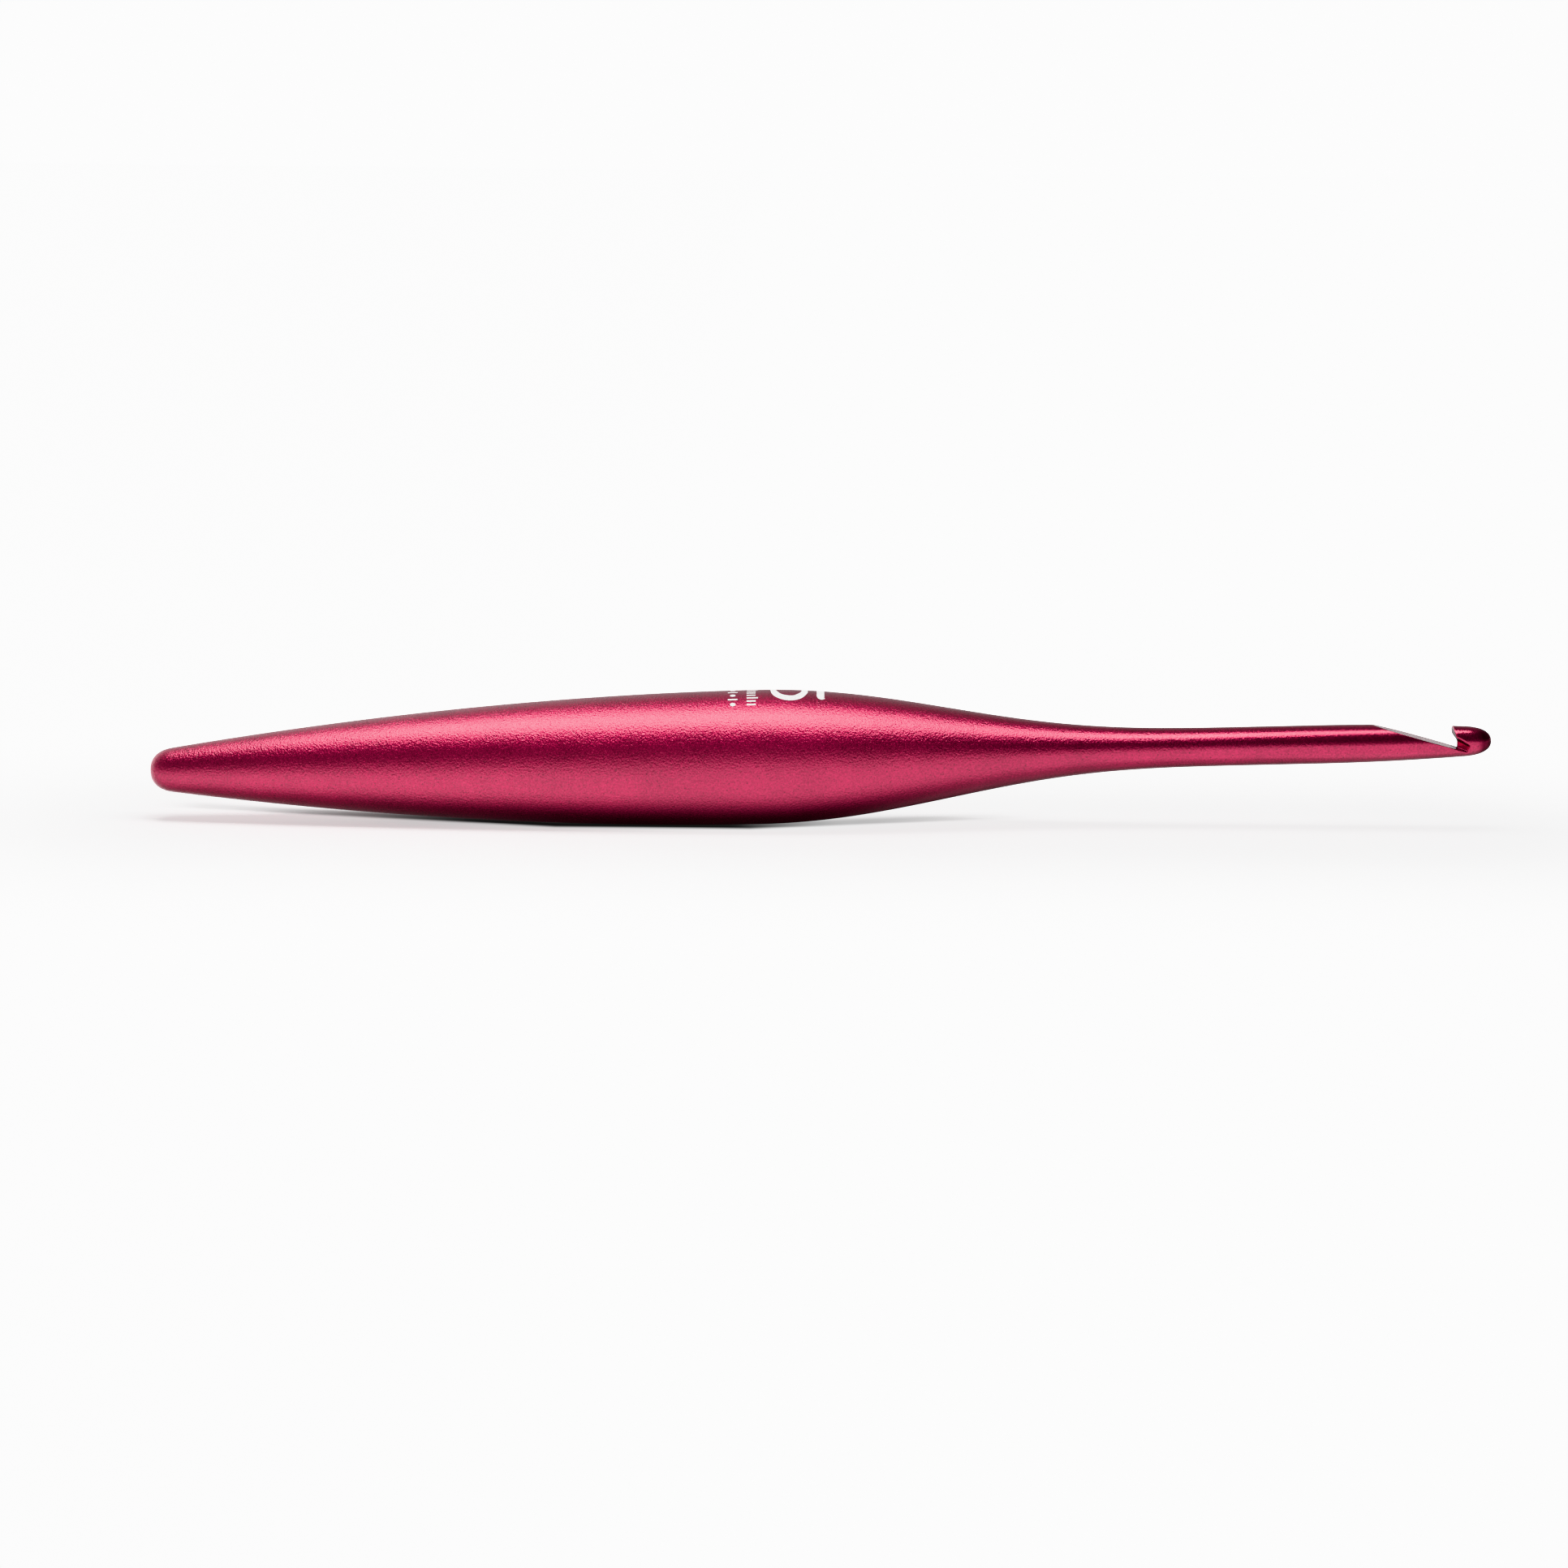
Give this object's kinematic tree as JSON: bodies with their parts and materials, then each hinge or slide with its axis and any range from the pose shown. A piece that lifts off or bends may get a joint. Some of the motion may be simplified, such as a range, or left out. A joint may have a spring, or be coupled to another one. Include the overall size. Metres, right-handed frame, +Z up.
{
  "type": "crochet hook",
  "caption": "Ergonomic crochet hook: long tapered grip swelling to a full belly, slim neck, round shaft and bevelled throat with an undercut hook head.",
  "frame": {"origin": "middle of the length, centred across, on the flat surface that the widest part of the grip touches when the axis is level", "axes": "+X along the hook's long axis towards the hook tip, +Z up, the way the throat of the hook opens; +Y completes a right-handed frame"},
  "size_m": [0.1724, 0.0172, 0.0173],
  "materials": {
    "anodised_body": "bead-blasted and dyed, crimson anodised, satin on the grip and smoother at the hook end"
  },
  "bodies": {
    "root": {"handle_and_shaft": "anodised_body", "hook_head": "anodised_body"}
  },
  "joints": []
}
